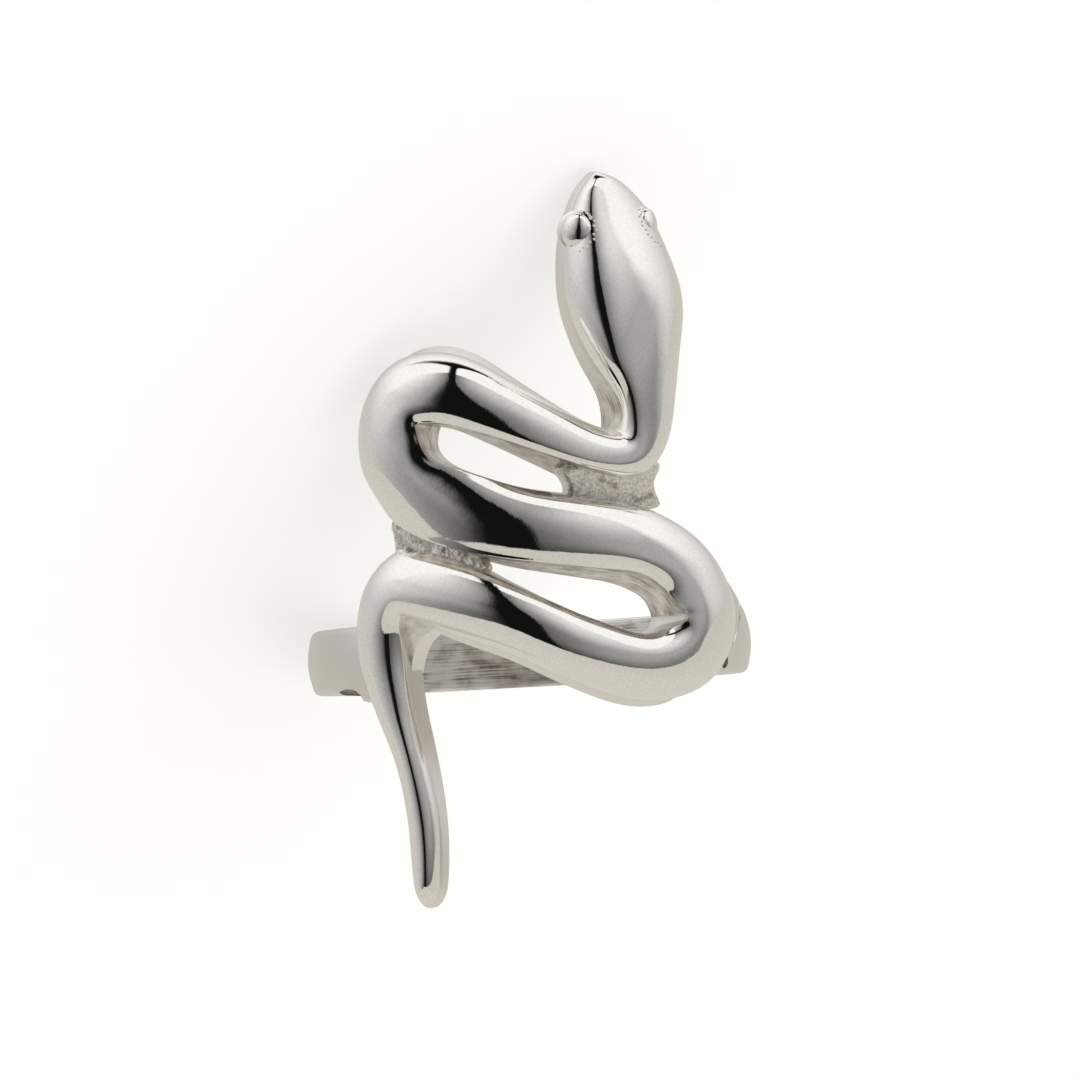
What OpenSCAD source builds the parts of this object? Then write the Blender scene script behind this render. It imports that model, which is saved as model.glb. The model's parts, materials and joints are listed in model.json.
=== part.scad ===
// Snake ring, cast in one piece: a snake coiled along the finger on a plain open shank.
// It is drawn about the finger (X right, -Y the front, Z along the finger with the head up)
// and then turned as a whole to the way it lies on a table.

/* [Finger and shank] */
// Inner diameter of the ring, a US size 7
bore_d = 17.3; // [15:0.1:20]
// Thickness of the shank, measured outwards from the finger
shank_t = 1.6; // [1.4:0.1:2]
// Width of the shank along the finger
shank_w = 3; // [2.6:0.1:3.6]
// How much the outside of the shank is domed
shank_crown = 0.18; // [0.05:0.01:0.3]
// Radius of the shank's rounded edges
shank_round = 0.4; // [0.2:0.05:0.6]
// Where the shank ends behind the right loop, degrees round from the front
shank_end_right = 46; // [40:1:50]
// Where the shank ends behind the tail, degrees round from the front
shank_end_left = 42; // [38:1:46]

/* [Snake] */
// Gap between the finger and the back of the snake
back_gap = 0.1; // [0.05:0.05:0.2]
// Length of the rounded snout
snout_len = 0.8; // [0.6:0.1:1.6]
// Length of the rounded tip of the tail
tail_tip_len = 1; // [0.6:0.1:1.6]
// Distance between two sections of the snake
section_step = 0.5; // [0.45:0.05:1]
// Squareness of the snake's rounded top, where 2 is a plain ellipse
top_square = 2.2; // [2:0.1:2.8]

/* [Eyes] */
// Radius of the bead that makes each eye
eye_r = 0.72; // [0.6:0.02:0.8]
// Height of the middle of each bead over the back of the head
eye_depth = 1.5; // [1.3:0.05:1.7]

/* [Hidden] */

bore_r = bore_d / 2;
back_r = bore_r + back_gap;
// Radius at which lengths round the finger are true, near the foot of the snake's sides
true_r = back_r + 0.85;

// The snake from the tip of its tail to its snout. Columns: degrees round the finger (right is
// positive), place along the finger, width, height over the back, height of the side wall,
// how far the wall leans in, and how far the crest leans over to the right of the way to the head.
TURN = 0;
ALONG = 1;
WIDTH = 2;
HEIGHT = 3;
WALL = 4;
LEAN = 5;
CREST = 6;
SNAKE = [
    [-33.6, -11.4, 1.4, 1.25, 0.6, 0.15, 0],
    [-33.2, -9.8, 1.85, 1.4, 0.7, 0.15, 0],
    [-33.1, -7.4, 1.95, 1.55, 0.75, 0.15, 0],
    [-35.7, -4.7, 1.9, 1.75, 0.75, 0.15, 0],
    [-40.3, -2.2, 2.1, 2.0, 0.75, 0.15, 0],
    [-42.3, 0.2, 2.6, 2.25, 0.8, 0.2, 0],
    [-40.5, 2.3, 2.9, 2.5, 0.8, 0.2, -0.1],
    [-34.0, 3.4, 3.5, 2.65, 0.8, 0.25, -0.2],
    [-24.0, 3.0, 3.9, 2.75, 0.8, 0.3, -0.3],
    [-13.0, 2.05, 3.6, 2.8, 0.8, 0.3, -0.3],
    [-2.0, 1.05, 3.25, 2.85, 0.8, 0.25, -0.3],
    [14.0, -0.3, 3.1, 2.9, 0.8, 0.25, -0.2],
    [32.0, -1.25, 3.2, 3.1, 0.8, 0.3, -0.1],
    [45.0, -0.9, 3.7, 3.4, 0.8, 0.3, 0],
    [50.2, 1.1, 3.7, 3.6, 0.8, 0.3, 0],
    [44.8, 3.1, 3.6, 3.45, 0.8, 0.3, 0.1],
    [32.5, 4.2, 3.5, 3.2, 0.8, 0.25, 0.3],
    [15.0, 4.9, 3.4, 3.0, 0.8, 0.25, 0.35],
    [-4.0, 5.6, 3.3, 2.9, 0.8, 0.25, 0.3],
    [-16.0, 6.5, 3.2, 3.0, 0.8, 0.25, 0.2],
    [-27.5, 7.9, 3.2, 3.2, 0.8, 0.25, 0],
    [-34.2, 10.4, 3.4, 3.3, 0.8, 0.25, 0],
    [-30.0, 12.0, 3.5, 3.25, 0.8, 0.25, -0.1],
    [-19.0, 12.1, 3.4, 3.05, 0.8, 0.25, -0.25],
    [-5.0, 10.95, 3.2, 2.85, 0.8, 0.25, -0.35],
    [8.0, 9.6, 2.95, 2.75, 0.8, 0.2, -0.3],
    [20.0, 8.4, 2.85, 2.7, 0.85, 0.2, -0.2],
    [29.5, 8.0, 2.85, 2.65, 1.0, 0.2, -0.1],
    [34.0, 9.2, 2.8, 2.65, 1.3, 0.25, 0],
    [35.0, 11.0, 3.2, 2.65, 1.6, 0.35, 0],
    [33.6, 12.9, 4.75, 2.65, 1.8, 0.7, 0],
    [33.0, 15.3, 6.2, 2.6, 1.85, 0.95, 0],
    [31.1, 17.6, 5.55, 2.5, 1.8, 0.75, 0],
    [29.2, 19.6, 3.35, 2.2, 1.6, 0.4, 0],
    [26.4, 21.4, 1.3, 1.9, 1.4, 0.2, 0]
];

// Solder that fills the narrow places between two bends, and flares that widen the shank's ends
// where they meet the snake. Columns: degrees round the finger, lower and upper edge along it.
NECK_WEB = [[15, 6.2, 7.6], [22, 6.0, 7.4], [29, 5.8, 7.4], [35, 5.4, 7.2]];
TAIL_WEB = [[-34, 4.7, 6.4], [-30, 4.2, 6.4], [-23, 3.9, 5.6], [-15, 3.4, 5.2], [-8, 2.6, 4.4]];
RIGHT_FLARE = [[54, 0, 3.4], [65, 0, 3.1], [72, 0, 2.4], [80, 0, 1.35]];
LEFT_FLARE = [[-66, -1.35, 0], [-58, -1.6, 0], [-50, -1.95, 0], [-42, -2.05, 0]];
web_height = 1.15;
flare_height = 1.3;

// Degrees round the finger and place along it of the left and the right eye
EYES = [[18.6, 18.6], [38.4, 18.9]];

// Unrolled centre line of the snake, in mm round and along the finger
function unrolled(row) = [row[TURN] * true_r * PI / 180, row[ALONG]];
CENTRE = [for (row = SNAKE) unrolled(row)];
LAST = len(SNAKE) - 1;

// Distance travelled along the centre line at each row
function travelled(i) = i == 0 ? 0 : travelled(i - 1) + norm(CENTRE[i] - CENTRE[i - 1]);
MARK = [for (i = [0:LAST]) travelled(i)];
LENGTH = MARK[LAST];

// The row with its place changed to unrolled millimetres, so that all its columns run smoothly
ROW = [for (i = [0:LAST]) concat(CENTRE[i], [for (c = [WIDTH:CREST]) SNAKE[i][c]])];

// Slope of every column at a row, for a smooth curve through the rows
function slope(i) =
    i == 0 ? (ROW[1] - ROW[0]) / MARK[1]
    : i == LAST ? (ROW[LAST] - ROW[LAST - 1]) / (MARK[LAST] - MARK[LAST - 1])
    : let (
        before = MARK[i] - MARK[i - 1],
        after = MARK[i + 1] - MARK[i],
        in_slope = (ROW[i] - ROW[i - 1]) / before,
        out_slope = (ROW[i + 1] - ROW[i]) / after
    )
    (in_slope * after + out_slope * before) / (before + after);
SLOPE = [for (i = [0:LAST]) slope(i)];

// All the columns at a distance d from the tip of the tail
function piece_at(d, i = 0) = i >= LAST - 1 || d < MARK[i + 1] ? i : piece_at(d, i + 1);
function row_at(d) =
    let (
        i = piece_at(d),
        span = MARK[i + 1] - MARK[i],
        t = (d - MARK[i]) / span,
        a = (1 + 2 * t) * pow(1 - t, 2),
        b = t * pow(1 - t, 2) * span,
        c = t * t * (3 - 2 * t),
        e = t * t * (t - 1) * span
    )
    ROW[i] * a + SLOPE[i] * b + ROW[i + 1] * c + SLOPE[i + 1] * e;

// How full the body is near its two rounded ends, 0 at the very end and 1 beyond them
function rounded(d, tip) = d >= tip ? 1 : sqrt(max(0.0004, 1 - pow(1 - d / tip, 2)));
function fullness(d) = min(rounded(d, tail_tip_len), rounded(LENGTH - d, snout_len));

// Heading of the centre line, as a unit vector on the unrolled sheet
function heading(d) =
    let (
        gap = 0.05,
        p = row_at(max(0, d - gap)),
        q = row_at(min(LENGTH, d + gap)),
        v = [q[0] - p[0], q[1] - p[1]]
    )
    v / norm(v);

// Half of a section, across and up, from the middle of the back to the middle of the top
back_steps = 2;
top_steps = 9;
// Share of the height left at the very ends, and the most of a section that wall and lean may take
end_height = 0.45;
most_wall = 0.7;
most_lean = 0.4;
function height_of(row, full) = row[HEIGHT] * (end_height + (1 - end_height) * full);
function half_section(row, full) =
    let (
        half = row[WIDTH] / 2 * full,
        height = height_of(row, full),
        wall = min(row[WALL], height * most_wall),
        shoulder = half - min(row[LEAN], half * most_lean),
        power = 2 / top_square
    )
    concat(
        [for (k = [1:back_steps]) [half * k / back_steps, 0]],
        [for (k = [0:top_steps - 1])
            let (a = 90 * k / top_steps)
            [shoulder * pow(cos(a), power), wall + (height - wall) * pow(sin(a), power)]]
    );
function full_section(row, full) =
    let (
        half = half_section(row, full),
        top = height_of(row, full),
        upright = concat(
            [[0, 0]],
            half,
            [[0, top]],
            [for (k = [len(half) - 1:-1:0]) [-half[k][0], half[k][1]]]
        ),
        over = row[CREST] * full / top
    )
    [for (p = upright) [p[0] + over * p[1], p[1]]];

// A point of the unrolled sheet wrapped round the finger, raised outwards from the back
function wrapped(round_by, along, up) =
    let (a = round_by / true_r * 180 / PI)
    [(back_r + up) * sin(a), -(back_r + up) * cos(a), along];

function section_at(d) =
    let (
        row = row_at(d),
        h = heading(d)
    )
    [for (p = full_section(row, fullness(d)))
        wrapped(row[0] + p[0] * h[1], row[1] - p[0] * h[0], p[1])];

// Distances of the sections: close together in the rounded ends and even between them
tip_steps = 6;
even_length = LENGTH - snout_len - tail_tip_len;
even_steps = ceil(even_length / section_step);
function even_at(k) = tail_tip_len + even_length * k / even_steps;
DISTANCES = concat(
    [for (k = [0:tip_steps - 1]) tail_tip_len * (1 - cos(90 * k / tip_steps))],
    [for (k = [0:even_steps]) even_at(k)],
    [for (k = [tip_steps - 1:-1:0]) LENGTH - snout_len * (1 - cos(90 * k / tip_steps))]
);

// Closed skin over rings of points that all have the same count
module skin(rings) {
    count = len(rings[0]);
    points = [for (ring = rings) each ring];
    sides = [
        for (i = [0:len(rings) - 2], k = [0:count - 1])
            let (
                a = i * count + k,
                b = i * count + (k + 1) % count
            )
            each [[a, b, b + count], [a, b + count, a + count]]
    ];
    first = [for (k = [count - 1:-1:0]) k];
    last = [for (k = [0:count - 1]) (len(rings) - 1) * count + k];
    polyhedron(points, concat(sides, [first, last]), convexity = 12);
}

module snake() {
    skin([for (d = DISTANCES) section_at(d)]);
}

// Solder between the lower and the upper edges that the rows give, up to a height over the back
module solder(rows, height) {
    foot = 0.02;
    skin([
        for (row = rows)
            let (round_by = row[0] * true_r * PI / 180)
            [
                wrapped(round_by, row[1], foot),
                wrapped(round_by, row[1], height),
                wrapped(round_by, row[2], height),
                wrapped(round_by, row[2], foot)
            ]
    ]);
}

// A bead let into the shoulder of the head, at a place round and along the finger
module eye(place) {
    round_by = place[0] * true_r * PI / 180;
    translate(wrapped(round_by, place[1], eye_depth)) sphere(r = eye_r, $fn = 32);
}

// Profile of the shank: flat to the finger, domed outside, with rounded edges
corner_steps = 4;
crown_share = 0.9;
function corner(x, y, start) = [
    for (k = [0:corner_steps])
        let (a = start + 90 * k / corner_steps)
        [x + shank_round * cos(a), y + shank_round * sin(a)]
];
module shank_profile() {
    inner = bore_r + shank_round;
    outer = bore_r + shank_t - shank_crown - shank_round;
    edge = shank_w / 2 - shank_round;
    crown = [
        for (k = [-1:0.5:1])
            [bore_r + shank_t - shank_crown * k * k, edge * crown_share * k]
    ];
    polygon(concat(
        corner(inner, -edge, 180),
        corner(outer, -edge, 270),
        crown,
        corner(outer, edge, 0),
        corner(inner, edge, 90)
    ));
}

module shank() {
    rotate_extrude(
        angle = 360 - shank_end_left - shank_end_right,
        start = shank_end_right - 90,
        $fn = 96
    )
        shank_profile();
}

// The whole ring as it is worn, the finger along Z
module worn() {
    snake();
    shank();
    solder(NECK_WEB, web_height);
    solder(TAIL_WEB, web_height);
    solder(RIGHT_FLARE, flare_height);
    solder(LEFT_FLARE, flare_height);
    for (place = EYES) eye(place);
}

// How the ring comes to rest on a table, on its snout, the left loop and the back of the shank:
// turned about Y, tipped about X and shifted so that its box stands centred on the table
rest_turn = 219.5;
rest_tip = -29.7;
rest_shift = [3.1437, 3.0173, 8.3189];

module ring() {
    color("silver")
        translate(rest_shift)
            rotate([rest_tip, 0, 0])
                rotate([0, rest_turn, 0])
                    union() worn();
}

ring();
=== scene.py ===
# %% [markdown]
# # A silver snake ring, lying on a white table
# This lesson builds a cast silver ring in Blender. A snake winds along the finger in three bends, and a
# plain open shank carries it. The ring's true size and the way it lies come from its imported CAD model,
# and every mesh here is made round that frame. So the first step loads the frame.

# %% Load the imported ring
import json
import math

import bmesh
import bpy
import numpy as np
from mathutils import Matrix, Vector, noise
from mathutils.bvhtree import BVHTree


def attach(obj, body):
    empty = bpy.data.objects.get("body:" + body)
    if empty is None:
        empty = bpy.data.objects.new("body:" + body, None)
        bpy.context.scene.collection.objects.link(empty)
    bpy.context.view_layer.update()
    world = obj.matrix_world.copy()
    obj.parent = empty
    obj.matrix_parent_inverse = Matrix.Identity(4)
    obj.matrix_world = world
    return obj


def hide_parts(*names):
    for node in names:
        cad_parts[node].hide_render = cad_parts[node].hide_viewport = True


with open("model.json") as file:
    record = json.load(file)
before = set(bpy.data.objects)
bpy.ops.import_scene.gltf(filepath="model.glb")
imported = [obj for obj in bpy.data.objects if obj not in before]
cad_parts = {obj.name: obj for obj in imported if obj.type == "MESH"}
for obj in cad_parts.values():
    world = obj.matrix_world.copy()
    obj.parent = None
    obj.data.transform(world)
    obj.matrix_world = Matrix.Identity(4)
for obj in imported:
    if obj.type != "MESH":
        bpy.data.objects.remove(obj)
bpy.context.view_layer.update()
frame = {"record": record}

MM = 0.001


def deselect():
    """Operators act on all that is selected, and loading leaves the CAD node selected."""
    if bpy.context.object and bpy.context.object.mode != "OBJECT":
        bpy.ops.object.mode_set(mode="OBJECT")
    bpy.ops.object.select_all(action="DESELECT")


deselect()

# %% [markdown]
# ## The ring's own directions
# A maker draws a ring about the finger: right, front, and along the finger to the fingertip. On the
# table the ring lies askew, on its snout, one bend and the back of the shank. The finger hole of the
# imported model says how: its axis is the finger's, and the ring's front has no sideways part. One matrix
# then carries everything that is drawn about the finger, in millimetres, to the table, in metres.

# %% From the finger to the table
hole = frame["record"]["mounts"][0]
BORE_R = hole["dims"]["r_mm"]
CENTRE = Vector(hole["pos_m"])
ALONG_FINGER = -Vector(hole["axis"]).normalized()
FRONT = Vector((0, ALONG_FINGER.z, -ALONG_FINGER.y)).normalized()
RIGHT = ALONG_FINGER.cross(FRONT)
TURNED = Matrix((RIGHT, -FRONT, ALONG_FINGER)).transposed().to_4x4()
LAID = Matrix.Translation(CENTRE) @ TURNED @ Matrix.Scale(MM, 4)
print("front of the ring looks", [round(x, 3) for x in FRONT])

# %% [markdown]
# ## Camera
# The photograph was taken from a good way off with a long lens, from a little below the band. The
# camera keeps that place against the ring. As the ring now lies on its snout, the camera looks down on
# the table and is rolled so that the head still points up in the picture.

# %% Camera
IMAGE = 1080
CAMERA_DISTANCE = 350.0
PIXELS_PER_MM = 21.66
RING_AT_PIXEL = (529.5, 652.3)
ROLL = math.radians(3.2)
FROM_BELOW = math.radians(1.8)

looking = Vector((0, math.cos(FROM_BELOW), math.sin(FROM_BELOW)))
plain_up = Vector((0, -math.sin(FROM_BELOW), math.cos(FROM_BELOW)))
plain_right = Vector((1, 0, 0))
camera_right = math.cos(ROLL) * plain_right - math.sin(ROLL) * plain_up
camera_up = math.sin(ROLL) * plain_right + math.cos(ROLL) * plain_up
aside = (IMAGE / 2 - RING_AT_PIXEL[0]) / PIXELS_PER_MM
above = (RING_AT_PIXEL[1] - IMAGE / 2) / PIXELS_PER_MM
seat = -CAMERA_DISTANCE * looking + aside * camera_right + above * camera_up

bpy.ops.object.camera_add()
camera = bpy.context.object
camera.name = "photo_camera"
view_axes = Matrix((camera_right, camera_up, -looking)).transposed().to_4x4()
camera.matrix_world = TURNED @ view_axes
camera.location = LAID @ seat
camera.data.sensor_width = 36.0
camera.data.lens = camera.data.sensor_width * PIXELS_PER_MM * CAMERA_DISTANCE / IMAGE
camera.data.clip_start = 0.01
camera.data.clip_end = 50
bpy.context.scene.camera = camera
print("lens", round(camera.data.lens, 1), "mm, camera height", round(camera.location.z / MM), "mm")

# %% [markdown]
# ## Finishes
# All the metal is sterling silver, but the hand that finished it reached only some of it. The crown of
# the snake is mirror polished, the walls between the bends are left as cast, the solder is rough, the
# outside of the shank is satin and its inside is brushed. A finish is a slot on the mesh, in one order
# for every piece, so that the slots survive when the pieces are fused.

# %% Colours and nodes
# A Mix node has a pair of inputs for each kind of data: 6 and 7 are its colours, output 2 their mix
COLOUR_A, COLOUR_B, MIXED = 6, 7, 2


def linear(hex_colour):
    """An sRGB hex colour as the linear colour that Blender mixes in."""
    values = [int(hex_colour[k : k + 2], 16) / 255 for k in (1, 3, 5)]
    return [v / 12.92 if v <= 0.04045 else ((v + 0.055) / 1.055) ** 2.4 for v in values] + [1]


def node(tree, kind, settings=None, inputs=None):
    """One node with its settings; an input is a value, or the socket that feeds it."""
    new = tree.nodes.new(kind)
    for name, value in (settings or {}).items():
        setattr(new, name, value)
    for name, value in (inputs or {}).items():
        if isinstance(value, bpy.types.NodeSocket):
            tree.links.new(value, new.inputs[name])
        else:
            new.inputs[name].default_value = value
    return new


def metal(name, colour, roughness):
    """A bare metal material, and the parts of it that a finish goes on from."""
    material = bpy.data.materials.new(name)
    material.use_nodes = True
    tree = material.node_tree
    shader = tree.nodes["Principled BSDF"]
    shader.inputs["Base Color"].default_value = linear(colour)
    shader.inputs["Metallic"].default_value = 1
    shader.inputs["Roughness"].default_value = roughness
    place = node(tree, "ShaderNodeTexCoord")
    return material, tree, shader, place


print("the sRGB grey #808080 is", round(linear("#808080")[0], 3), "in linear light")

# %% [markdown]
# ## Mirror polished silver
# A buffing wheel leaves a mirror with a faint orange peel. It is too shallow to see as such, but it
# frays the edges of reflections. Two layers of noise make it: a fine peel about a micron high, and
# broad waves of a few microns. The fine one also tints the metal with a faint speckle. The real grain
# is finer than the picture can show, so it is drawn as coarse as it has to be to show.

# %% Polished silver
PEEL = 0.12 * MM
WAVE = 0.9 * MM
polished, tree, shader, place = metal("mirror_polished_silver", "#F7F4EF", 0.035)
here = place.outputs["Object"]
peel = node(tree, "ShaderNodeTexNoise", inputs={
    "Vector": here, "Scale": 1 / PEEL, "Detail": 2,
}).outputs["Fac"]
waves = node(tree, "ShaderNodeTexNoise", inputs={
    "Vector": here, "Scale": 1 / WAVE, "Detail": 1,
}).outputs["Fac"]
fine = node(tree, "ShaderNodeBump", inputs={
    "Height": peel, "Distance": 0.0011 * MM, "Strength": 1,
}).outputs["Normal"]
broad = node(tree, "ShaderNodeBump", inputs={
    "Height": waves, "Distance": 0.006 * MM, "Strength": 1, "Normal": fine,
}).outputs["Normal"]
speck = node(tree, "ShaderNodeMapRange", inputs={
    "Value": peel, "From Min": 0.35, "From Max": 0.65,
}).outputs[0]
tint = node(tree, "ShaderNodeMix", {"data_type": "RGBA"}, {
    "Factor": speck, COLOUR_A: linear("#F2EFE9"), COLOUR_B: linear("#FAF8F4"),
}).outputs[MIXED]
tree.links.new(tint, shader.inputs["Base Color"])
tree.links.new(broad, shader.inputs["Normal"])
print("polished silver: grain", round(PEEL / MM, 2), "mm")

# %% [markdown]
# ## Silver as cast
# Where no wheel reaches, the metal keeps the skin of its mould: satin, with fine lines that run along
# the walls. Deep between the bends its colour is darkened to brown as painted shade. The pieces carry a
# point attribute for that, from 0 on a low outer wall to 1 on a high inner one, which also deepens the
# lines, and a UV map that runs with the metal. The lines and the patches are multiplied, so the painted
# shade sits in streaks.

# %% As cast silver
SKIN = 0.2 * MM
# Size of the patches that break up the painted shade between the bends
SHADE_PATCH = 0.8 * MM
# The UV map goes from 0 to 1 along the metal and from 0 to 1 round its section. The snake is about
# 75 mm long and 11 mm round, so this makes lines 1.7 mm long and 0.07 mm wide
LINES_ALONG = (45, 150, 1)
cast, tree, shader, place = metal("as_cast_silver", "#E4E0DA", 0.32)
here = place.outputs["Object"]
# How deep between the bends a point lies: it sets the painted shade and how strong the bumped lines are
shade_and_grooves = node(tree, "ShaderNodeAttribute", {"attribute_name": "shade_and_grooves"}).outputs["Fac"]
along = node(tree, "ShaderNodeMapping", inputs={
    "Vector": place.outputs["UV"], "Scale": LINES_ALONG,
}).outputs["Vector"]
lines = node(tree, "ShaderNodeTexNoise", inputs={
    "Vector": along, "Scale": 1, "Detail": 3,
}).outputs["Fac"]
skin = node(tree, "ShaderNodeTexNoise", inputs={
    "Vector": here, "Scale": 1 / SKIN, "Detail": 3,
}).outputs["Fac"]
patches = node(tree, "ShaderNodeTexNoise", inputs={
    "Vector": here, "Scale": 1 / SHADE_PATCH, "Detail": 2,
}).outputs["Fac"]
print("as cast silver: skin grain", round(SKIN / MM, 2), "mm")

# %% Painted shade and skin of the cast silver
# Painted shade: streaks of lines and patches, times that depth, darken the colour towards brown
shade_streaks = node(tree, "ShaderNodeMath", {"operation": "MULTIPLY"}, {0: lines, 1: patches}).outputs[0]
spread = node(tree, "ShaderNodeMapRange", inputs={
    "Value": shade_streaks, "From Min": 0.12, "From Max": 0.42,
}).outputs[0]
depth = node(tree, "ShaderNodeMath", {"operation": "MULTIPLY", "use_clamp": True}, {
    0: spread, 1: shade_and_grooves,
}).outputs[0]
tone = node(tree, "ShaderNodeMix", {"data_type": "RGBA"}, {
    "Factor": depth, COLOUR_A: linear("#F3EFE9"), COLOUR_B: linear("#9C8E85"),
}).outputs[MIXED]
rough = node(tree, "ShaderNodeMapRange", inputs={
    "Value": skin, "To Min": 0.22, "To Max": 0.42,
}).outputs[0]
grooves = node(tree, "ShaderNodeBump", inputs={
    "Height": lines, "Distance": 0.03 * MM, "Strength": shade_and_grooves,
}).outputs["Normal"]
bumps = node(tree, "ShaderNodeBump", inputs={
    "Height": skin, "Distance": 0.006 * MM, "Strength": 1, "Normal": grooves,
}).outputs["Normal"]
tree.links.new(tone, shader.inputs["Base Color"])
tree.links.new(rough, shader.inputs["Roughness"])
tree.links.new(bumps, shader.inputs["Normal"])
print("as cast silver has", len(tree.nodes), "nodes")

# %% [markdown]
# ## Solder
# Silver solder runs into the joints and freezes with a pitted, spotted skin, dark where flux stayed.
# Fine noise gives the pits and their grey, and coarse noise says where the brown flux lies.

# %% Solder
PIT = 0.11 * MM
FLUX_PATCH = 0.6 * MM
solder, tree, shader, place = metal("silver_solder", "#E2DDD6", 0.36)
here = place.outputs["Object"]
spots = node(tree, "ShaderNodeTexNoise", inputs={
    "Vector": here, "Scale": 1 / PIT, "Detail": 3,
}).outputs["Fac"]
clouds = node(tree, "ShaderNodeTexNoise", inputs={
    "Vector": here, "Scale": 1 / FLUX_PATCH, "Detail": 3,
}).outputs["Fac"]
fleck = node(tree, "ShaderNodeMapRange", inputs={
    "Value": spots, "From Min": 0.35, "From Max": 0.62,
}).outputs[0]
flux = node(tree, "ShaderNodeMapRange", inputs={
    "Value": clouds, "From Min": 0.56, "From Max": 0.7,
}).outputs[0]
grey = node(tree, "ShaderNodeMix", {"data_type": "RGBA"}, {
    "Factor": fleck, COLOUR_A: linear("#CFC8C1"), COLOUR_B: linear("#F8F5F0"),
}).outputs[MIXED]
brown = node(tree, "ShaderNodeMix", {"data_type": "RGBA"}, {
    "Factor": flux, COLOUR_A: grey, COLOUR_B: linear("#A39488"),
}).outputs[MIXED]
pits = node(tree, "ShaderNodeBump", inputs={
    "Height": spots, "Distance": 0.015 * MM, "Strength": 1,
}).outputs["Normal"]
tree.links.new(brown, shader.inputs["Base Color"])
tree.links.new(pits, shader.inputs["Normal"])
print("solder: pits", round(PIT / MM, 2), "mm across")

# %% [markdown]
# ## Satin and brushed silver
# The outside of the shank was rubbed with fine paper, across its width. The inside was brushed along
# the finger's round, where it is darker and a little brown. Both patterns are noise on the UV map of
# the strip, drawn out one way, because the strokes turn with the shank.

# %% Satin silver
# The shank is about 46 mm long and 9 mm round, so this makes strokes 1.5 mm long and 0.26 mm wide
RUBBED = (180, 6, 1)
SATIN_CLOUD = 1.6 * MM
satin, tree, shader, place = metal("satin_silver", "#E7E4DF", 0.24)
across = node(tree, "ShaderNodeMapping", inputs={
    "Vector": place.outputs["UV"], "Scale": RUBBED,
}).outputs["Vector"]
hair = node(tree, "ShaderNodeTexNoise", inputs={
    "Vector": across, "Scale": 1, "Detail": 3,
}).outputs["Fac"]
cloud = node(tree, "ShaderNodeTexNoise", inputs={
    "Vector": place.outputs["Object"], "Scale": 1 / SATIN_CLOUD, "Detail": 2,
}).outputs["Fac"]
rough = node(tree, "ShaderNodeMapRange", inputs={
    "Value": cloud, "To Min": 0.16, "To Max": 0.36,
}).outputs[0]
rub = node(tree, "ShaderNodeBump", inputs={
    "Height": hair, "Distance": 0.004 * MM, "Strength": 1,
}).outputs["Normal"]
tree.links.new(rough, shader.inputs["Roughness"])
tree.links.new(rub, shader.inputs["Normal"])
print("satin silver: strokes across the shank")

# %% Brushed silver
# These strokes are 3.3 mm long and 0.07 mm wide
BRUSHED_ROUND = (14, 130, 1)
TARNISH_PATCH = 1.2 * MM
brushed, tree, shader, place = metal("brushed_silver", "#C9C0B8", 0.3)
stroke = node(tree, "ShaderNodeMapping", inputs={
    "Vector": place.outputs["UV"], "Scale": BRUSHED_ROUND,
}).outputs["Vector"]
streak = node(tree, "ShaderNodeTexNoise", inputs={
    "Vector": stroke, "Scale": 1, "Detail": 4,
}).outputs["Fac"]
tarnish = node(tree, "ShaderNodeTexNoise", inputs={
    "Vector": place.outputs["Object"], "Scale": 1 / TARNISH_PATCH, "Detail": 3,
}).outputs["Fac"]
both = node(tree, "ShaderNodeMath", {"operation": "ADD"}, {0: tarnish, 1: streak}).outputs[0]
patch = node(tree, "ShaderNodeMapRange", inputs={
    "Value": both, "From Min": 0.95, "From Max": 1.25,
}).outputs[0]
tone = node(tree, "ShaderNodeMix", {"data_type": "RGBA"}, {
    "Factor": patch, COLOUR_A: linear("#F7F4EF"), COLOUR_B: linear("#968981"),
}).outputs[MIXED]
brush = node(tree, "ShaderNodeBump", inputs={
    "Height": streak, "Distance": 0.02 * MM, "Strength": 1,
}).outputs["Normal"]
tree.links.new(tone, shader.inputs["Base Color"])
tree.links.new(brush, shader.inputs["Normal"])
print("brushed silver: strokes round the finger")

# %% The order of the finishes
FINISHES = [polished, cast, solder, satin, brushed]
POLISHED, CAST, SOLDER, SATIN, BRUSHED = range(5)
print("finishes:", [m.name for m in FINISHES])

# %% [markdown]
# ## Small helpers for shapes
# Most of the ring is metal drawn out along a line: the snake, the shank and the solder. Each is made
# as a goldsmith rolls a sheet into a tube. A grid is added, each of its rows is laid round one section,
# and the two long edges are merged. The grid brings a UV map along, which runs with the metal.

# %% Rolling a sheet into a tube
# Lengths round the finger are true halfway up the metal, and its back is just clear of the hole
HALFWAY_UP = 0.95
CLEAR = 0.1
TRUE_R = BORE_R + HALFWAY_UP
WELD = 0.0005


def wrapped(round_by, along, up):
    """A point of the unrolled sheet, in mm, wrapped round the finger and raised from the back."""
    angle = round_by / TRUE_R
    radius = BORE_R + CLEAR + up
    return (radius * math.sin(angle), -radius * math.cos(angle), along)


def finished(piece, finish, shade_and_grooves=None):
    """All the finishes as slots; finish, and the painted shade that also deepens the cast lines, are one
    value, or a list for faces or points.
    """
    for material in FINISHES:
        piece.data.materials.append(material)
    faces = piece.data.polygons
    faces.foreach_set("material_index", [finish] * len(faces) if isinstance(finish, int) else finish)
    layer = piece.data.attributes.new("shade_and_grooves", "FLOAT", "POINT")
    layer.data.foreach_set("value", shade_and_grooves or [0.0] * len(piece.data.vertices))


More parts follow.
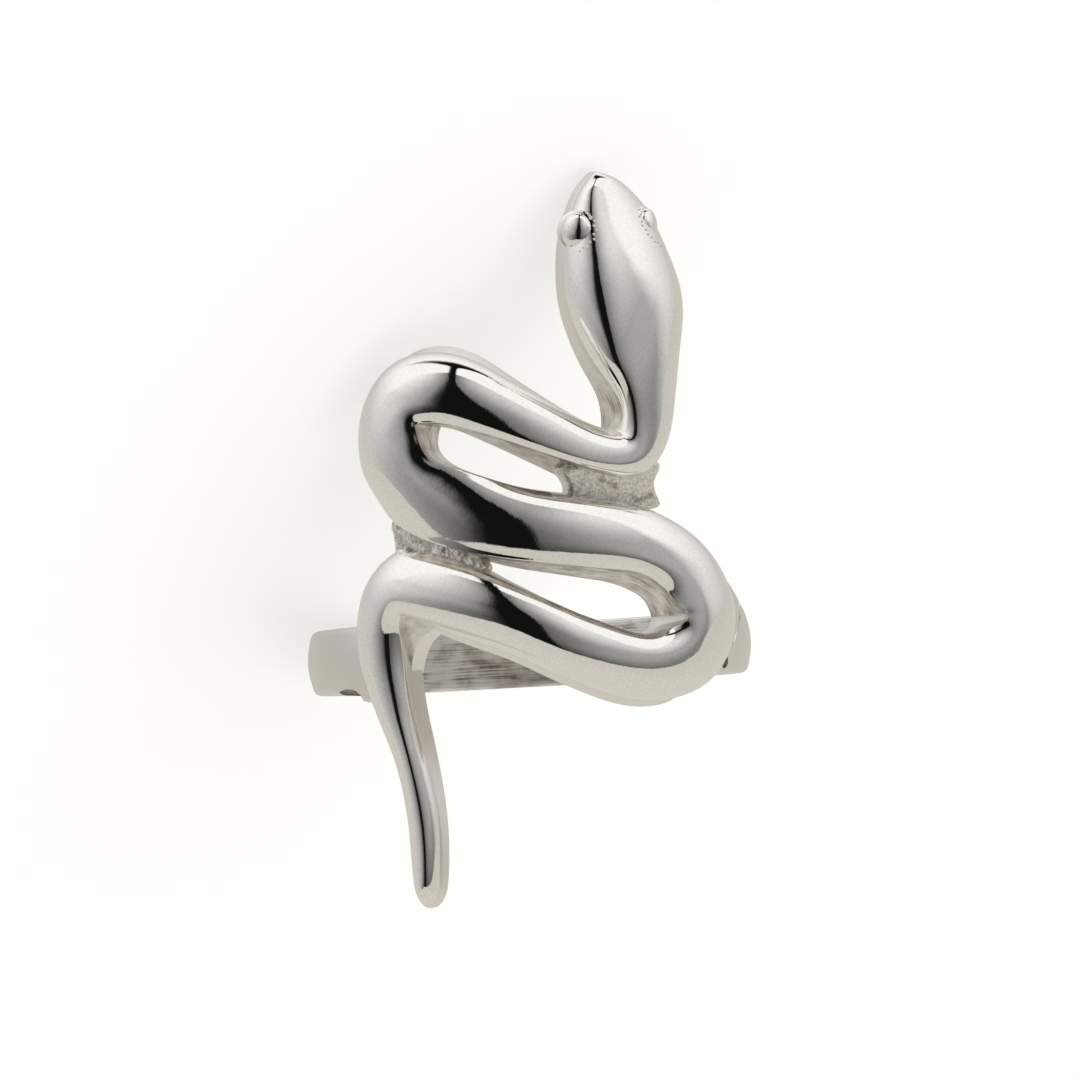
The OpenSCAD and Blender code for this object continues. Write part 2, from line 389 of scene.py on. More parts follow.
def rolled(name, sections, finish, shade_and_grooves=None, subdivide=1):
    """A closed tube through sections, lists of points in mm, with its two ends filled.

    finish(step) gives the finish of the strip after a step; the next function, given (row, step), gives
    the painted shade of a point.
    """
    deselect()
    rows, count = len(sections), len(sections[0])
    bpy.ops.mesh.primitive_grid_add(x_subdivisions=rows - 1, y_subdivisions=count, size=1)
    piece = bpy.context.object
    piece.name = name
    mesh = piece.data
    slots = [finish(min(count - 1, int((face.center.y + 0.5) * count))) for face in mesh.polygons]
    point_shades = []
    for v in mesh.vertices:
        row = round((v.co.x + 0.5) * (rows - 1))
        step = round((v.co.y + 0.5) * count) % count
        point_shades.append(shade_and_grooves(row, step) if shade_and_grooves else 0.0)
        v.co = sections[row][step]
    finished(piece, slots, point_shades)
    bpy.ops.object.mode_set(mode="EDIT")
    bpy.ops.mesh.select_all(action="SELECT")
    bpy.ops.mesh.remove_doubles(threshold=WELD)
    bpy.ops.mesh.select_all(action="DESELECT")
    bpy.ops.mesh.select_mode(type="EDGE")
    bpy.ops.mesh.select_non_manifold()
    bpy.ops.mesh.fill_holes(sides=0)
    bpy.ops.mesh.select_all(action="SELECT")
    bpy.ops.mesh.normals_make_consistent(inside=False)
    bpy.ops.object.mode_set(mode="OBJECT")
    smooth = piece.modifiers.new("smooth", "SUBSURF")
    smooth.levels = smooth.render_levels = subdivide
    bpy.ops.object.modifier_apply(modifier=smooth.name)
    return piece


print("lengths are true", round(TRUE_R, 2), "mm from the finger's axis")

# %% [markdown]
# ## The snake
# The real snake was carved in wax and cast: a rope with a rounded crown and straight sides, which lies
# on the finger with its flat back. In the bends its crown turns to the front, so the inner wall is high
# and leans out, and the outer one is low. A short table says where the rope goes and how it changes,
# from the tip of the tail to the snout. The columns are run through a smooth curve and softened a
# little, because polished metal shows every kink in its reflections.

# %% The snake's table
# Columns: degrees round the finger, place along it, width, height; height of the left wall and how far
# it leans in; the same of the right wall; how far the crest lies right of the middle; and how square
# the crown is, where 2 is an ellipse. Left and right are those of the way to the head.
SNAKE = np.array([
    [-33.7, -11.4, 1.4, 1.25, 0.4, 0.2, 0.5, 0.15, 0.0, 2.0],
    [-33.2, -9.8, 1.85, 1.42, 0.45, 0.2, 0.65, 0.2, 0.2, 2.0],
    [-33.0, -7.4, 1.95, 1.62, 0.45, 0.2, 0.75, 0.15, 0.2, 2.0],
    [-35.4, -4.7, 2.05, 1.9, 0.45, 0.25, 1.0, 0.15, 0.35, 2.0],
    [-39.7, -2.2, 2.5, 2.17, 0.4, 0.3, 1.3, 0.05, 0.35, 2.1],
    [-42.0, 0.2, 3.1, 2.44, 0.4, 0.3, 1.6, 0.0, 0.4, 2.2],
    [-40.3, 2.2, 3.1, 2.64, 0.5, 0.3, 1.9, 0.0, 0.6, 2.2],
    [-34.0, 3.25, 3.5, 2.72, 1.3, 0.2, 1.9, 0.3, 0.55, 2.2],
    [-24.0, 2.8, 3.9, 2.75, 1.7, 0.12, 1.7, 0.5, 0.2, 2.3],
    [-13.0, 1.9, 3.6, 2.8, 2.1, 0.12, 1.5, 0.45, -0.25, 2.4],
    [-2.0, 1.05, 3.3, 2.85, 2.2, 0.12, 1.3, 0.35, -0.4, 2.4],
    [14.0, -0.3, 3.2, 2.95, 2.2, 0.12, 1.0, 0.25, -0.2, 2.4],
    [32.0, -1.25, 3.3, 3.1, 2.4, 0.0, 0.9, 0.25, -0.5, 2.3],
    [44.5, -0.75, 3.8, 3.45, 3.1, -0.3, 0.8, 0.3, -1.0, 2.3],
    [49.8, 1.2, 3.7, 3.55, 3.2, -0.6, 0.8, 0.35, -1.15, 2.4],
    [44.8, 3.1, 3.6, 3.45, 3.1, -0.5, 0.8, 0.3, -1.0, 2.3],
    [32.5, 4.2, 3.5, 3.2, 2.7, 0.3, 1.0, -0.1, -0.6, 2.5],
    [15.0, 4.85, 3.5, 3.0, 2.65, 0.35, 1.5, -0.15, -0.2, 3.0],
    [-4.0, 5.5, 3.5, 2.9, 2.6, 0.3, 2.0, -0.12, 0.1, 2.9],
    [-16.0, 6.3, 3.6, 3.0, 2.65, 0.2, 2.4, -0.1, 0.35, 2.9],
    [-27.7, 7.4, 3.5, 3.2, 2.1, 0.25, 2.85, -0.1, 0.7, 2.5],
    [-32.2, 8.3, 3.5, 3.3, 1.3, 0.3, 3.0, -0.3, 0.8, 2.3],
    [-34.4, 9.6, 3.7, 3.35, 0.6, 0.35, 3.05, -0.4, 0.8, 2.1],
    [-32.3, 10.95, 3.9, 3.35, 0.6, 0.35, 3.05, -0.2, 0.8, 2.15],
    [-26.8, 11.95, 3.95, 3.3, 0.7, 0.3, 3.0, 0.1, 0.8, 2.3],
    [-18.5, 12.0, 3.8, 3.15, 0.8, 0.3, 2.95, 0.2, 0.75, 2.4],
    [-5.0, 10.85, 3.3, 2.75, 0.8, 0.2, 2.6, 0.4, 0.65, 2.4],
    [8.0, 9.6, 3.0, 2.65, 0.8, 0.2, 2.5, 0.5, 0.5, 2.4],
    [20.0, 8.6, 2.9, 2.65, 0.85, 0.2, 2.3, 0.6, 0.4, 2.3],
    [29.0, 8.35, 2.95, 2.65, 1.2, 0.2, 1.6, 0.4, 0.0, 2.3],
    [33.6, 9.6, 3.0, 2.75, 2.0, 0.2, 1.0, 0.2, -0.45, 2.5],
    [34.8, 11.2, 3.5, 2.88, 1.8, 0.15, 0.8, 0.2, -0.75, 2.7],
    [33.6, 12.9, 4.8, 2.95, 1.2, 0.25, 1.4, 0.35, -0.4, 3.4],
    [32.8, 15.3, 6.2, 2.85, 0.9, 0.2, 1.5, 0.35, -0.1, 3.6],
    [30.9, 17.6, 5.8, 2.42, 0.8, 0.2, 1.2, 0.35, -0.3, 3.4],
    [29.0, 19.6, 4.4, 1.7, 0.7, 0.2, 0.9, 0.25, -0.5, 3.0],
    [26.4, 21.4, 1.3, 1.15, 0.6, 0.15, 0.6, 0.15, -0.2, 2.4],
])
SNAKE[:, 0] = np.radians(SNAKE[:, 0]) * TRUE_R
WALL_L, WALL_R = 4, 6
print("the snake's table has", len(SNAKE), "places")

# %% A smooth track through the table
# The way is cut into FINE mm. The spreads of the softening, in mm, are for the columns, for the
# headings, so that the sections fan out evenly in a bend, and for how sharply the way bends
FINE = 0.05
SOFTEN = 0.45
FAN = 1.3
BEND_SOFTEN = 0.9


def softened(track, spread):
    """Columns smoothed along the way, with a spread in mm, both ends kept."""
    reach = int(3 * spread / FINE)
    weight = np.exp(-0.5 * (np.arange(-reach, reach + 1) * FINE / spread) ** 2)
    weight /= weight.sum()
    before = 2 * track[0] - track[reach:0:-1]
    after = 2 * track[-1] - track[-2 : -reach - 2 : -1]
    padded = np.vstack([before, track, after])
    return np.column_stack([np.convolve(column, weight, "valid") for column in padded.T])


def track_through(rows):
    """All columns every FINE mm of the way, on a smooth curve that is then softened."""
    mark = np.append(0, np.cumsum(np.hypot(np.diff(rows[:, 0]), np.diff(rows[:, 1]))))
    span = np.diff(mark)[:, None]
    chord = np.diff(rows, axis=0) / span
    inner = (chord[:-1] * span[1:] + chord[1:] * span[:-1]) / (span[:-1] + span[1:])
    slope = np.vstack([chord[:1], inner, chord[-1:]])
    way = np.arange(0, mark[-1], FINE)
    i = np.clip(np.searchsorted(mark, way, "right") - 1, 0, len(rows) - 2)
    t = ((way - mark[i]) / span[i, 0])[:, None]
    track = (
        rows[i] * (1 + 2 * t) * (1 - t) ** 2
        + slope[i] * span[i] * t * (1 - t) ** 2
        + rows[i + 1] * t * t * (3 - 2 * t)
        + slope[i + 1] * span[i] * t * t * (t - 1)
    )
    return softened(track, SOFTEN)


track = track_through(SNAKE)
steps = np.gradient(track[:, :2], axis=0)
headings = steps / np.linalg.norm(steps, axis=1)[:, None]
headings = softened(headings, FAN)
headings /= np.linalg.norm(headings, axis=1)[:, None]
heading_angle = np.unwrap(np.arctan2(headings[:, 1], headings[:, 0]))
bend = softened(np.gradient(heading_angle)[:, None] / FINE, BEND_SOFTEN)[:, 0]
LENGTH = (len(track) - 1) * FINE
print("the snake is", round(LENGTH, 1), "mm long")
print("its tightest bend has a radius of", round(1 / abs(bend).max(), 1), "mm")

# %% [markdown]
# ## The snake's section
# Each half of the section runs from the back up its wall, over a small groove and along the crown to
# the crest. In a tight bend the inner half is wider than the bend's own radius. It is eased to fit,
# so that the metal doesn't run into itself.

# %% The snake's section
# Both ends are rounded over their last TAIL_TIP and SNOUT mm, down to END_HEIGHT of the full height
TAIL_TIP = 1.0
SNOUT = 0.8
END_HEIGHT = 0.45
# Points on the crown of one side, and in mm the rounding of the foot and of the groove over the wall
TOP_STEPS = 9
FOOT_ROUND = 0.12
GROOVE = 0.05
# The most of the height that a wall takes, and of the crown's width that the crest moves aside
MOST_WALL = 0.93
MOST_CREST = 0.75
# The share of a bend's radius that the inner half fills; a straighter way counts as SLIGHTEST_BEND
ROOM = 0.95
SLIGHTEST_BEND = 0.05
QUARTER = math.pi / 2


def half_section(half, height, wall, lean, crest, square):
    """One side across and up, from the middle of the back to just short of the crest."""
    lean = max(min(lean, half / 2), -half)
    wall = min(wall, height * MOST_WALL)
    crest = min(crest, (half - lean) * MOST_CREST)
    edge = half - lean
    foot = min(FOOT_ROUND, wall * 0.3)
    points = [(half / 2, 0), (half - foot, 0), (half, foot)]
    points += [(half - lean * share, wall * share) for share in (0.35, 0.7)]
    points += [(edge, wall - GROOVE), (edge - GROOVE, wall), (edge - GROOVE * 0.2, wall + GROOVE)]
    reach, drop = edge - crest, height - wall
    end = min(QUARTER, 2 * math.atan2(drop, reach))
    power = 2 / (2 + (square - 2) * (end / QUARTER) ** 3)
    for k in range(TOP_STEPS - 1, 0, -1):
        t = end * k / TOP_STEPS
        across = (math.sin(t) / math.sin(end)) ** power
        up = ((math.cos(t) - math.cos(end)) / (1 - math.cos(end))) ** power
        points.append((crest + reach * across, wall + drop * up))
    return points


def eased(width, room):
    """The smaller of two lengths, rounded off where they are near each other."""
    return (width ** -5 + room ** -5) ** -0.2


def rounded(d, tip):
    """How full the body is at a distance d from a rounded end, 0 to 1."""
    return 1 if d >= tip else math.sqrt(max(0.0004, 1 - (1 - d / tip) ** 2))


def section_at(i):
    """The section at one place of the track, wrapped round the finger."""
    round_by, along, width, height, wall_l, lean_l, wall_r, lean_r, crest, square = track[i]
    d = i * FINE
    full = min(rounded(d, TAIL_TIP), rounded(LENGTH - d, SNOUT))
    height *= END_HEIGHT + (1 - END_HEIGHT) * full
    half = width * full / 2
    crest *= full
    room_left = ROOM / max(bend[i], SLIGHTEST_BEND)
    room_right = ROOM / max(-bend[i], SLIGHTEST_BEND)
    half_l, half_r = eased(half, room_left), eased(half, room_right)
    lean_l = half_l - eased(half - min(lean_l, half / 2), room_left)
    lean_r = half_r - eased(half - min(lean_r, half / 2), room_right)
    right = half_section(half_r, height, wall_r, lean_r, crest, square)
    left = half_section(half_l, height, wall_l, lean_l, -crest, square)
    points = [(0, 0)] + right + [(crest, height)] + [(-x, y) for x, y in reversed(left)]
    hx, hy = headings[i]
    return [wrapped(round_by + x * hy, along - x * hx, y) for x, y in points]


COUNT = len(section_at(0))
print("a section has", COUNT, "points")

# %% Roll the snake
# Places along the way are STATION mm apart, and closer together towards both rounded ends
STATION = 0.45
END_STEPS = 6
WALL_STEPS = 8
# Walls get painted shade between the bends only from these places along the finger on
SHADE_FROM = {WALL_L: 1.0, WALL_R: 3.4}
near_end = [1 - math.cos(QUARTER * k / END_STEPS) for k in range(END_STEPS)]
even = LENGTH - TAIL_TIP - SNOUT
even_count = math.ceil(even / STATION)
stations = [TAIL_TIP * share for share in near_end]
stations += [TAIL_TIP + even * k / even_count for k in range(even_count + 1)]
stations += [LENGTH - SNOUT * share for share in reversed(near_end)]
rows = [min(len(track) - 1, round(s / FINE)) for s in stations]


def snake_finish(step):
    """The back and the walls are as cast, the crown is polished."""
    return CAST if min(step, COUNT - 1 - step) < WALL_STEPS else POLISHED


def snake_shade(row, step):
    """How much painted shade a point gets: high inner walls deep between the bends get it, low walls and
    those near the tail don't.
    """
    side = WALL_R if step < COUNT / 2 else WALL_L
    place = track[rows[row]]
    return 0.0 if place[1] < SHADE_FROM[side] else min(1.0, max(0.0, place[side] - 1.0))


snake = rolled("snake", [section_at(i) for i in rows], snake_finish, snake_shade)
print("snake:", len(rows), "sections,", len(snake.data.polygons), "faces")

# %% [markdown]
# ## Shank
# The shank is a flat strip, 3 mm wide and 1.6 mm thick, bent round the finger and open at the front,
# where the snake closes it. Both of its ends widen into a flare that the snake is soldered to. It is
# rolled as the snake is, a section every 3 degrees, with rounded corners and a crowned outside.

# %% Shank
SHANK_T = 1.6
OUTER_ROUND = 0.4
INNER_ROUND = 0.15
CROWNED = 0.18
ACROSS = (-0.6, -0.2, 0.2, 0.6)
ARC_STEPS = 4
SHANK_STATIONS = 93
# Steps of the section that belong to the inside: from 22 over the start of the section to 3
INSIDE = (22, 3)
# Columns: degrees round from the front, lower and upper edge along the finger
SHANK = np.array([
    [44, -1.5, 3.6],
    [54, -1.5, 3.45],
    [65, -1.5, 3.05],
    [72, -1.5, 2.4],
    [78, -1.5, 1.8],
    [86, -1.5, 1.5],
    [294, -1.5, 1.5],
    [303, -1.65, 1.5],
    [310, -2.0, 1.5],
    [320, -2.05, 1.5],
])


def shank_section(angle, low, high):
    """A rounded rectangle between the finger and the outside, slightly crowned."""
    inner, outer = BORE_R, BORE_R + SHANK_T - CROWNED
    middle, half = (low + high) / 2, (high - low) / 2
    corners = [
        (inner + INNER_ROUND, low + INNER_ROUND, INNER_ROUND, 180),
        (outer - OUTER_ROUND, low + OUTER_ROUND, OUTER_ROUND, 270),
        (outer - OUTER_ROUND, high - OUTER_ROUND, OUTER_ROUND, 0),
        (inner + INNER_ROUND, high - INNER_ROUND, INNER_ROUND, 90),
    ]
    points = []
    for x, z, radius, start in corners:
        for k in range(ARC_STEPS + 1):
            a = math.radians(start + 90 * k / ARC_STEPS)
            points.append((x + radius * math.cos(a), z + radius * math.sin(a)))
        if start == 270:
            side = half - OUTER_ROUND
            points += [(outer + CROWNED * (1 - k * k), middle + side * k) for k in ACROSS]
        if start == 90:
            side = half - INNER_ROUND
            points += [(inner, middle - side * k) for k in ACROSS]
    sin, cos = math.sin(math.radians(angle)), math.cos(math.radians(angle))
    return [(x * sin, -x * cos, z) for x, z in points]


turns = np.linspace(SHANK[0, 0], SHANK[-1, 0], SHANK_STATIONS)
edges = [np.interp(turns, SHANK[:, 0], SHANK[:, c]) for c in (1, 2)]
shank = rolled(
    "shank",
    [shank_section(a, low, high) for a, low, high in zip(turns, *edges)],
    lambda step: BRUSHED if step >= INSIDE[0] or step < INSIDE[1] else SATIN,
)
print("shank:", len(turns), "sections,", len(shank.data.polygons), "faces")

# %% [markdown]
# ## Solder between the bends
# Two webs of solder hold the bends to each other, and a fill of cast metal closes the corner where the
# tail leaves its bend. Each is a block with an even top across the gap, whose height changes along it.
# It is rolled like the rest, and its points are then pushed about by smooth noise, so that the roughness
# is in the metal.

# %% Solder webs
WEB_STEPS = 16
WEB_SMOOTHING = 3
WEB_BACK = 0.03
# Two layers of shaking: how many swings a mm, and how far in mm
SHAKES = [(2.6, 0.09), (7, 0.035)]
# The back of a web, up to this height in mm, isn't shaken; the next stretch is, more and more
STILL = 0.3
MORE_AND_MORE = 0.6
# Without a seed of its own this noise takes one from the clock, and every run gives another solder
noise.seed_set(3)


def web(name, table, finish, rough):
    """Metal between two bends. Columns: along, left and right in degrees round, height."""
    sections = []
    for along, left, right, height in table:
        a, b = math.radians(left) * TRUE_R, math.radians(right) * TRUE_R
        across = [a + (b - a) * k / WEB_STEPS for k in range(WEB_STEPS + 1)]
        back = [wrapped(x, along, WEB_BACK) for x in across]
        sections.append(back + [wrapped(x, along, height) for x in reversed(across)])
    piece = rolled(name, sections, lambda step: finish, subdivide=WEB_SMOOTHING)
    for v in piece.data.vertices:
        raised = math.hypot(v.co.x, v.co.y) - BORE_R
        coarse, fine = [noise.noise_vector(v.co * swings) * far for swings, far in SHAKES]
        v.co += rough * (coarse + fine) * min(1.0, max(0.0, (raised - STILL) / MORE_AND_MORE))
    return piece


neck_solder = web("neck_solder", [
    [5.9, 8, 41, 1.35],
    [6.4, 10.5, 38.5, 1.45],
    [6.9, 12, 36.5, 1.6],
    [7.3, 12, 36, 1.8],
    [7.7, 10.5, 36.5, 2.0],
    [8.3, 7, 38.5, 2.2],
], SOLDER, 0.4)
tail_solder = web("tail_solder", [
    [3.4, -35, -7, 2.1],
    [4.0, -34.5, -9.5, 1.95],
    [4.5, -34, -11, 1.8],
    [5.0, -33.6, -13, 1.75],
    [5.6, -33.8, -15.5, 1.9],
    [6.4, -34.5, -18, 2.1],
], SOLDER, 0.7)
corner = web("corner_fill", [
    [-2.0, -38, -35, 0.7],
    [-1.2, -38, -34, 0.9],
    [-0.5, -38, -32.6, 1.05],
    [0.2, -38, -31, 1.2],
    [0.8, -38, -28, 1.45],
    [1.3, -38, -21, 1.6],
    [1.9, -38, -14, 1.75],
    [2.7, -38, -9, 1.9],
], CAST, 0.2)
fills = [neck_solder, tail_solder, corner]
print("faces of the fills:", [len(fill.data.polygons) for fill in fills])

# %% [markdown]
# ## Eyes
# Each eye is a low polished bead on a flat collar: two mounds, one on the other, that look out to the
# side of the head. Round the collar, on the side of the head's middle, runs a row of tiny grains, such
# as a jeweller raises with a beading tool. Each grain is dropped onto the head by a ray that comes down
# the way the eye looks, so it sits on the metal wherever the head bends away.

# %% Eyes
# Columns: degrees round, place along, height of the collar's middle, way it looks in degrees round
EYES = [[18.9, 18.62, 1.22, -13], [39.5, 18.8, 1.15, 68]]
# Half the width, half the length and how far it stands out
BEAD = (0.7, 0.84, 0.42)
COLLAR = (0.95, 0.98, 0.2)
BEAD_OUT = 0.12
GRAIN_R = 0.06
GRAINS = 13
# The grains span 80 degrees to both sides; every second one is nearer the eye
ROW_SPAN = 80
ROW_IN = 0.02
ZIGZAG = 0.09
FINGERTIP = Vector((0, 0, 1))
eye_parts = []


def mound(size, spot, aim):
    """A flattened ball: half its width, half its length and how far it stands out."""
    deselect()
    bpy.ops.mesh.primitive_uv_sphere_add(
        segments=48, ring_count=24, radius=1, location=spot, rotation=aim
    )
    bpy.context.object.scale = size
    bpy.ops.object.transform_apply(location=True, rotation=True, scale=True)
    finished(bpy.context.object, POLISHED)
    eye_parts.append(bpy.context.object)


head = BVHTree.FromObject(snake, bpy.context.evaluated_depsgraph_get())
for turn, along, up, looks in EYES:
    look = Vector((math.sin(math.radians(looks)), -math.cos(math.radians(looks)), 0))
    across = FINGERTIP.cross(look)
    aim = Matrix((across, FINGERTIP, look)).transposed().to_euler()
    spot = Vector(wrapped(math.radians(turn) * TRUE_R, along, up))
    mound(COLLAR, spot, aim)
    mound(BEAD, spot + look * BEAD_OUT, aim)
    inner_side = 1 if looks < 0 else -1
    for k in range(GRAINS):
        a = math.radians(-ROW_SPAN + 2 * ROW_SPAN * k / (GRAINS - 1))
        out = COLLAR[0] - ROW_IN - ZIGZAG * (k % 2)
        start = spot + (across * math.cos(a) * inner_side + FINGERTIP * math.sin(a)) * out
        hit = head.ray_cast(start + look * 2, -look, 3)[0]
        if hit:
            mound((GRAIN_R, GRAIN_R, GRAIN_R), hit, aim)
print("eyes:", len(eye_parts), "pieces")

# %% [markdown]
# ## Marks on the shank
# The shank was sawn, filed and bent by hand. A seam runs down its right flare, a small pit lies below
# the right loop, and a nick dulls the lower edge on the left. Each is a round bar that a boolean cuts
# out of the shank before it is fused, so the snake beside it stays whole.

# %% Marks
def boolean(piece, other, operation):
    """Joins or cuts with one modifier; both pieces are closed, and the other one is used up."""
    deselect()
    bpy.context.view_layer.objects.active = piece
    piece.select_set(True)
    change = piece.modifiers.new("change", "BOOLEAN")
    change.operation = operation
    change.object = other
    change.solver = "MANIFOLD"
    bpy.ops.object.modifier_apply(modifier=change.name)
    bpy.data.objects.remove(other)


def bar(start, end, radius):
    """A thin round cutter between two points, each in degrees round, place along and height."""
    a, b = [Vector(wrapped(math.radians(turn) * TRUE_R, along, up)) for turn, along, up in (start, end)]
    deselect()
    aim = (b - a).to_track_quat("Z", "Y").to_euler()
    bpy.ops.mesh.primitive_cylinder_add(
        vertices=20, radius=radius, depth=(b - a).length, location=(a + b) / 2, rotation=aim
    )
    bpy.ops.object.transform_apply(location=True, rotation=True)
    cutter = bpy.context.object
    # The cutter's faces, left as the walls of the cut, are as cast with full painted shade, so each mark
    # is drawn as a darker recess
    finished(cutter, CAST, [1.0] * len(cutter.data.vertices))
    return cutter


MARKS = [
    ("seam, upper part", (76, 2.0, 1.34), (71.5, 0.95, 1.45), 0.09),
    ("seam, lower part", (71.6, 1.0, 1.45), (66, -0.2, 1.5), 0.07),
    ("pit under the loop", (61.8, -1.0, 0.8), (61.8, -1.0, 2.6), 0.3),
    ("nick in the left shank", (-60, -2.05, 0.9), (-48.8, -2.05, 2.36), 0.75),
]
for name, start, end, radius in MARKS:
    boolean(shank, bar(start, end, radius), "DIFFERENCE")
    print("cut:", name)

# %% [markdown]
# ## Fuse
# Soldered metal is one solid, so all the pieces are fused with a boolean union. Their finishes are
# slots in one order, so every face keeps its own. An edge that doesn't join two faces would be a hole.

# %% Fuse
for part in eye_parts[1:]:
    boolean(eye_parts[0], part, "UNION")
ring = snake
ring.name = "snake_ring"
for part in [shank, neck_solder, tail_solder, corner, eye_parts[0]]:
    boolean(ring, part, "UNION")
check = bmesh.new()
check.from_mesh(ring.data)
open_edges = sum(not edge.is_manifold for edge in check.edges)
triangles = sum(len(face.verts) - 2 for face in check.faces)
check.free()
print("the ring has", triangles, "triangles and", open_edges, "open edges")

# %% [markdown]
# ## Place the ring
# The ring was drawn about the finger, in millimetres. The matrix from the first step lays it down, and
# it goes into the mesh, so that the object itself sits at the origin. Faces that meet at less than 38
# degrees are shaded smooth, so the grooves and the shank's edges stay crisp.

# %% Place the ring
CRISP = math.radians(38)
deselect()
ring.select_set(True)
bpy.context.view_layer.objects.active = ring
ring.matrix_world = LAID
bpy.ops.object.transform_apply(location=True, rotation=True, scale=True)
bpy.ops.object.shade_smooth_by_angle(angle=CRISP)
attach(ring, "root")
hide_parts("ring")
print("the ring measures", [round(x / MM, 1) for x in ring.dimensions], "mm as it lies")

# %% [markdown]
# ## Studio
# A mirror shows its room, so the room matters as much as the metal. The photograph was taken on a
# light table inside a white tent, with the camera looking in through a dark slit. The ring saw pale
# grey below, black at the foot of the slit, dark around it that fades upwards to white, and the slit
# itself, thin, over the top. The world shader paints that room round the ring by direction.

# %% The room's directions
# Straight up in the room, in the ring's own directions
TENT_TOP = Vector((0.056, -0.45, 0.89))
ROOM_UP = (TURNED.to_3x3() @ TENT_TOP).normalized()
to_camera = -(TURNED.to_3x3() @ looking)
ROOM_FRONT = (to_camera - ROOM_UP * to_camera.dot(ROOM_UP)).normalized()
ROOM_SIDE = ROOM_FRONT.cross(ROOM_UP)
if ROOM_SIDE.dot(TURNED.to_3x3() @ camera_right) < 0:
    ROOM_SIDE = -ROOM_SIDE
lean = math.degrees(ROOM_UP.angle(Vector((0, 0, 1))))
print("the room's top is turned", round(lean), "degrees from the table's upright")

# %% [markdown]
# ## The painted room
# The brightness is worked out from three numbers of a direction: how far it rises, how far it looks to
# the front and how far to the side. Math nodes and ramps turn them into walls, slit and table.

# %% Steps of the room's sum
TIMES, PLUS, LESS, OVER, RAISED, ROOT, HIGHER = [
    ("ShaderNodeMath", {"operation": name})
    for name in ("MULTIPLY", "ADD", "SUBTRACT", "DIVIDE", "POWER", "SQRT", "MAXIMUM")
]
# A ramp takes a value, its start and end, and what comes out there, 0 and 1 unless given
RAMP, SOFT_RAMP = [
    ("ShaderNodeMapRange", {"interpolation_type": name}) for name in ("LINEAR", "SMOOTHSTEP")
]
world = bpy.data.worlds.new("light_tent")
bpy.context.scene.world = world
world.use_nodes = True
tree = world.node_tree


def worked(step, *values):
    """What one step makes of values and sockets, which go in by their order."""
    return node(tree, *step, dict(enumerate(values))).outputs[0]


way = node(tree, "ShaderNodeTexCoord").outputs["Generated"]
rise, front, side = [
    node(tree, "ShaderNodeVectorMath", {"operation": "DOT_PRODUCT"}, {0: way, 1: axis}).outputs["Value"]
    for axis in (ROOM_UP, ROOM_FRONT, ROOM_SIDE)
]
print("the room has", len(tree.nodes), "nodes before it is painted")

# %% Walls of the tent
# How far round to the front a direction lies, whatever its height; 1.0001 keeps the root above zero
level = worked(ROOT, worked(LESS, 1.0001, worked(TIMES, rise, rise)))
forward = worked(OVER, front, level)
# How far beside the slit it lies; the slit runs a little aslant over the tent
off = worked(PLUS, side, worked(LESS, worked(TIMES, front, 0.18), 0.04))
across = worked(OVER, off, worked(RAMP, rise, 0.5, 1.0, 1.1, 0.4))
# Both walls grow lighter away from the slit, and the right one is dimmer low down
left_wall = worked(RAISED, worked(RAMP, across, 0.0, -0.95), worked(RAMP, rise, 0.15, 0.35, 1.6, 1.05))
right_end = worked(RAMP, rise, 0.5, 0.85, 0.58, 1.0)
right_wall = worked(RAMP, across, 0.0, 1.0, 0.06, right_end)
low = worked(HIGHER, worked(RAMP, rise, 0.0, 0.3, 0.5, 1.0), worked(RAMP, across, 0.5, 1.0))
walls = worked(HIGHER, left_wall, worked(TIMES, right_wall, low))
# Behind the ring the tent is white, from further forward the higher a direction lies
white_from = worked(RAMP, rise, 0.35, 0.6, -0.2, 0.1)
walls = worked(HIGHER, walls, worked(SOFT_RAMP, forward, 0.6, white_from))
print("walls:", len(tree.nodes), "nodes so far")

# %% Slit, tent and table
# The slit is wide at its foot, thin over the top, and ends behind the ring; its left edge is blurred
at_top = worked(RAMP, rise, 0.5, 0.95, 1.1, 0.3)
narrow = worked(HIGHER, at_top, worked(RAMP, front, -0.35, -0.6, 0.0, 2.2))
from_middle = worked(OVER, off, narrow)
left_edge = worked(SOFT_RAMP, from_middle, -0.12, -0.32)
right_edge = worked(SOFT_RAMP, from_middle, 0.12, 0.17)
slit = worked(HIGHER, worked(HIGHER, left_edge, right_edge), worked(RAMP, front, -0.62, -0.72))
lit = worked(TIMES, worked(TIMES, walls, slit), worked(RAMP, rise, 0.0, 0.6, 0.6, 1.0))
tent = worked(PLUS, lit, 0.006)
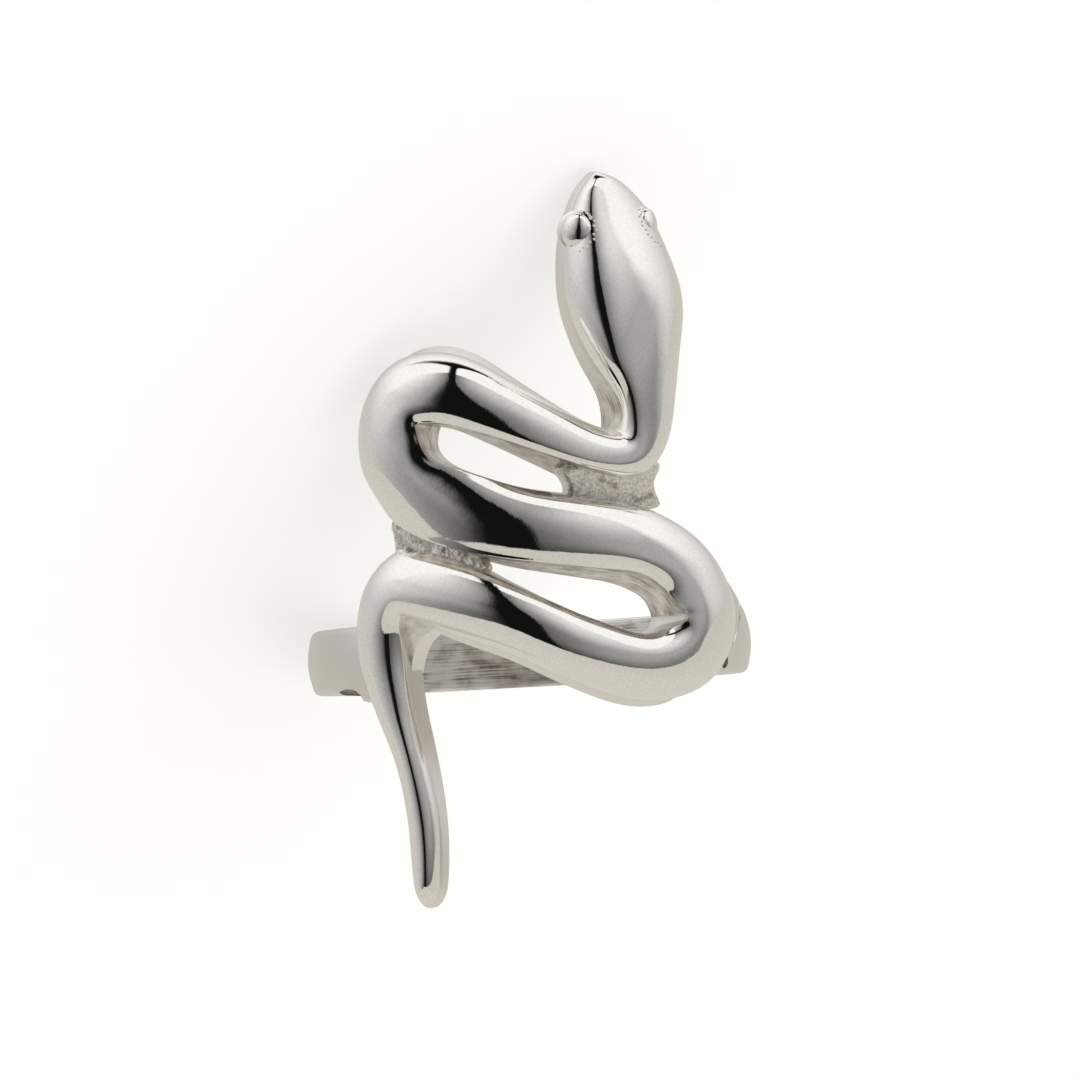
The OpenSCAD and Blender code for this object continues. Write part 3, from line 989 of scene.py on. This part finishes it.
# The table's edge is sharp, and it dips at the far left
edge = worked(PLUS, rise, worked(RAMP, side, -0.35, -0.75, 0.0, 0.17))
above_table = worked(RAMP, edge, -0.012, 0.012)
table = node(tree, "ShaderNodeMix", {"data_type": "RGBA"}, {
    "Factor": worked(RAMP, rise, -0.7, 0.0), COLOUR_A: linear("#D4D1CA"), COLOUR_B: linear("#CCC9C2"),
}).outputs[MIXED]
room = node(tree, "ShaderNodeMix", {"data_type": "RGBA"}, {
    "Factor": above_table, COLOUR_A: table, COLOUR_B: tent,
}).outputs[MIXED]
tree.links.new(room, tree.nodes["Background"].inputs["Color"])
print("the room is painted with", len(tree.nodes), "nodes")

# %% [markdown]
# ## Floor and light
# The floor is a plain white card that glows a little, as a light table does. A broad soft lamp over it
# gives the ring a faint shadow. Both are hidden from reflections, which show the room alone, and so is
# a white backdrop that only the camera sees.

# %% Floor, backdrop and lamp
TABLE_GLOW = 0.47
HIDDEN_FROM = ("diffuse", "glossy", "transmission", "volume_scatter", "shadow")


def card(name, colour, glow):
    """A matte card that glows."""
    material = bpy.data.materials.new(name)
    material.use_nodes = True
    shader = material.node_tree.nodes["Principled BSDF"]
    shader.inputs["Base Color"].default_value = linear(colour)
    shader.inputs["Roughness"].default_value = 0.9
    shader.inputs["Emission Color"].default_value = (1, 1, 1, 1)
    shader.inputs["Emission Strength"].default_value = glow
    return material


deselect()
bpy.ops.mesh.primitive_plane_add(size=3)
floor = bpy.context.object
floor.name = "white_table"
floor.data.materials.append(card("light_table", "#F2F2F2", TABLE_GLOW))
floor.visible_glossy = False

deselect()
bpy.ops.mesh.primitive_uv_sphere_add(segments=48, ring_count=24, radius=1.45)
backdrop = bpy.context.object
backdrop.name = "backdrop"
backdrop.data.materials.append(card("backdrop_glow", "#000000", 1.0))
for ray in HIDDEN_FROM:
    setattr(backdrop, "visible_" + ray, False)

deselect()
bpy.ops.object.light_add(type="AREA", location=(-0.3, -0.3, 0.7))
lamp = bpy.context.object
lamp.name = "softbox"
lamp.data.shape = "DISK"
lamp.data.size = 1.2
lamp.data.energy = 1.0
lamp.rotation_euler = (-lamp.location).to_track_quat("-Z", "Y").to_euler()
lamp.visible_glossy = False
bpy.context.scene.view_settings.view_transform = "Standard"
print("floor, backdrop and a softbox", lamp.data.size, "m across")
